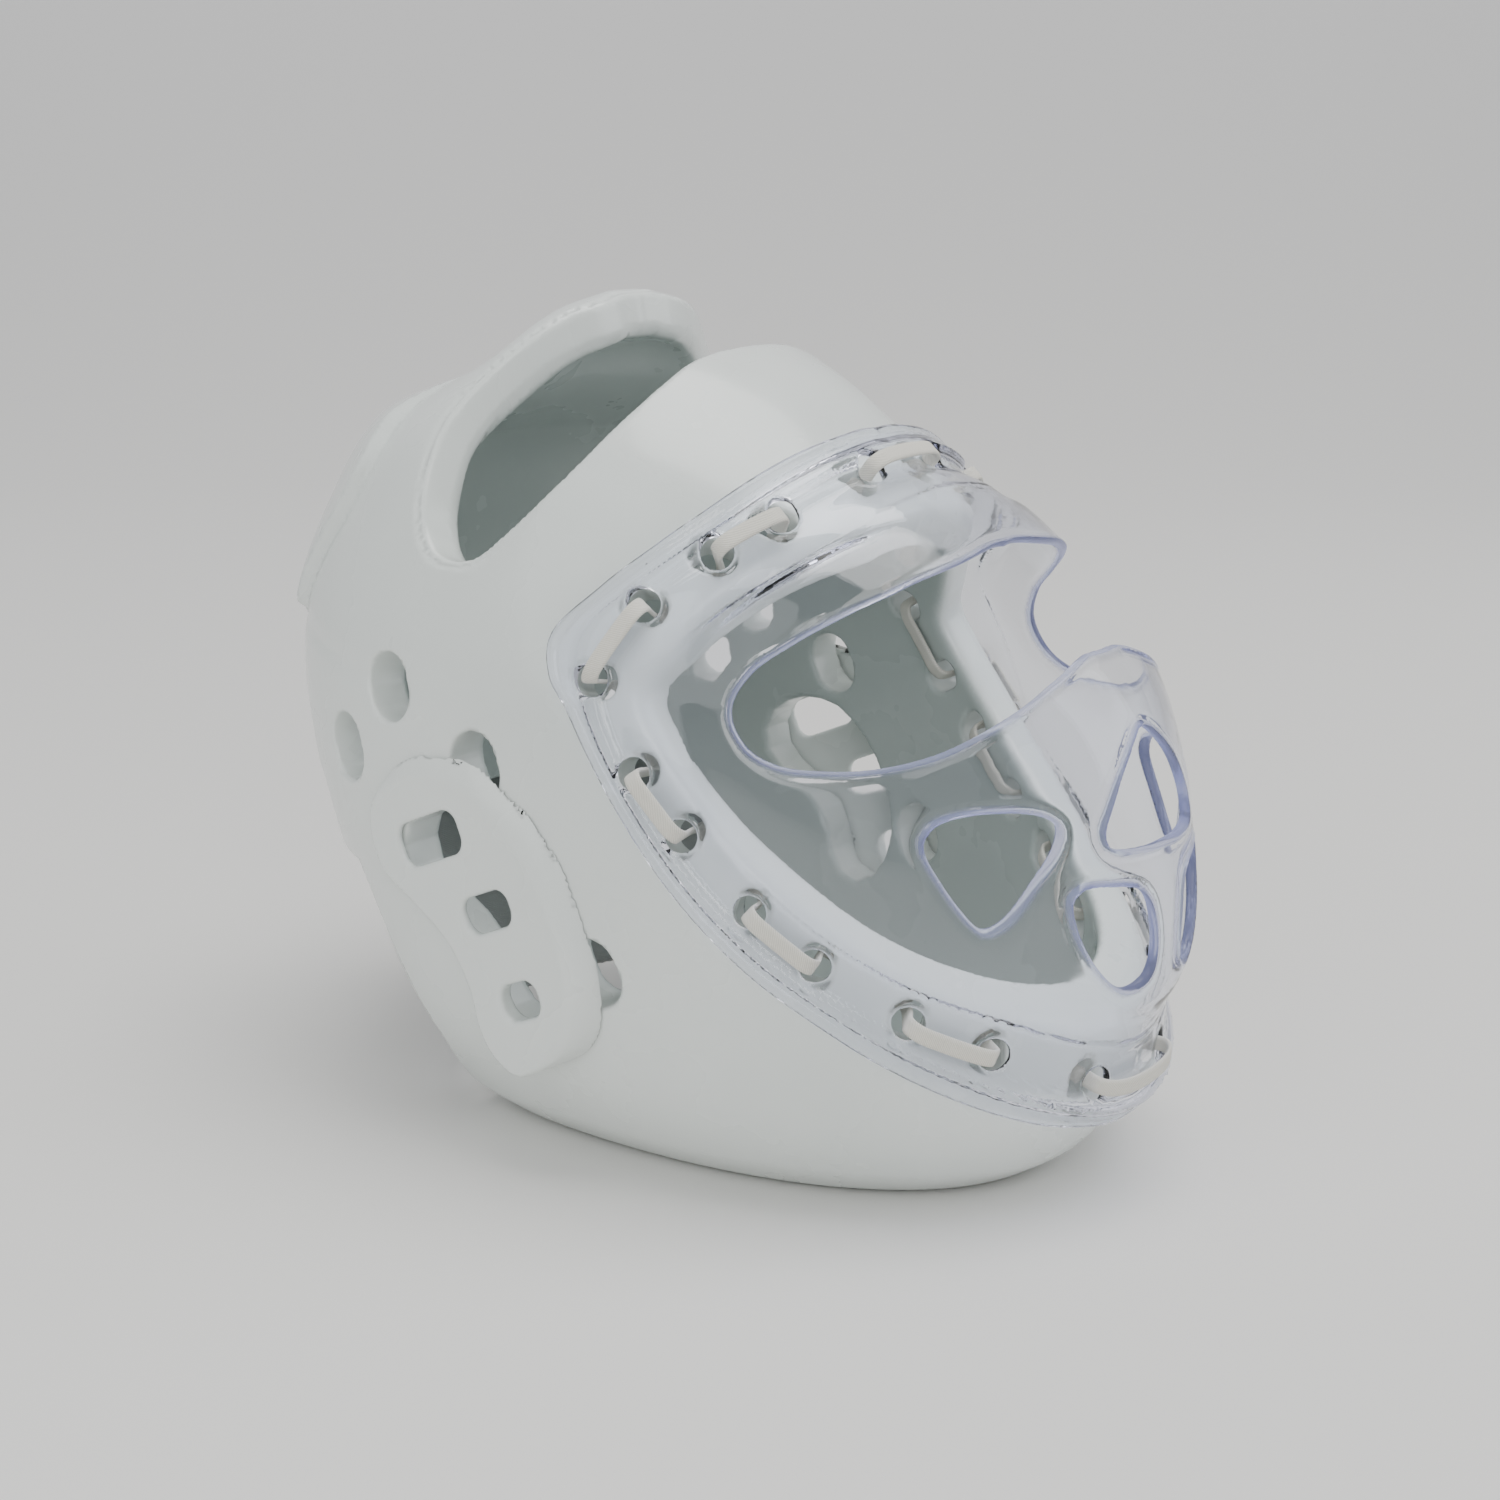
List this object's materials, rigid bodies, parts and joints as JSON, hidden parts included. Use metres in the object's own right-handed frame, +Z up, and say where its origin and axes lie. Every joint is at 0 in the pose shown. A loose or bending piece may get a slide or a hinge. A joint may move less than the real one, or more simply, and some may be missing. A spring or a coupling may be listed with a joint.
{
  "type": "karate head guard",
  "caption": "Dipped foam head guard with ear pads, an open crown, a nape band and a clear face mask laced to its face opening.",
  "frame": {"origin": "on the floor under the middle of the bounding box", "axes": "+Z up, the face towards -Y and tilted back, +X towards the wearer's left"},
  "size_m": [0.197, 0.3048, 0.249],
  "materials": {
    "dipped_foam": "satin, vinyl-dipped foam",
    "ear_pad_foam": "satin, vinyl-dipped foam",
    "clear_mask": "clear moulded plastic",
    "flat_lace": "woven flat lace",
    "ribbed_elastic": "ribbed elastic"
  },
  "bodies": {
    "root": {"shell": "dipped_foam", "ear_pad_right": "ear_pad_foam", "ear_pad_left": "ear_pad_foam", "mask": "clear_mask", "lace": "flat_lace", "back_band": "ribbed_elastic"}
  },
  "joints": []
}
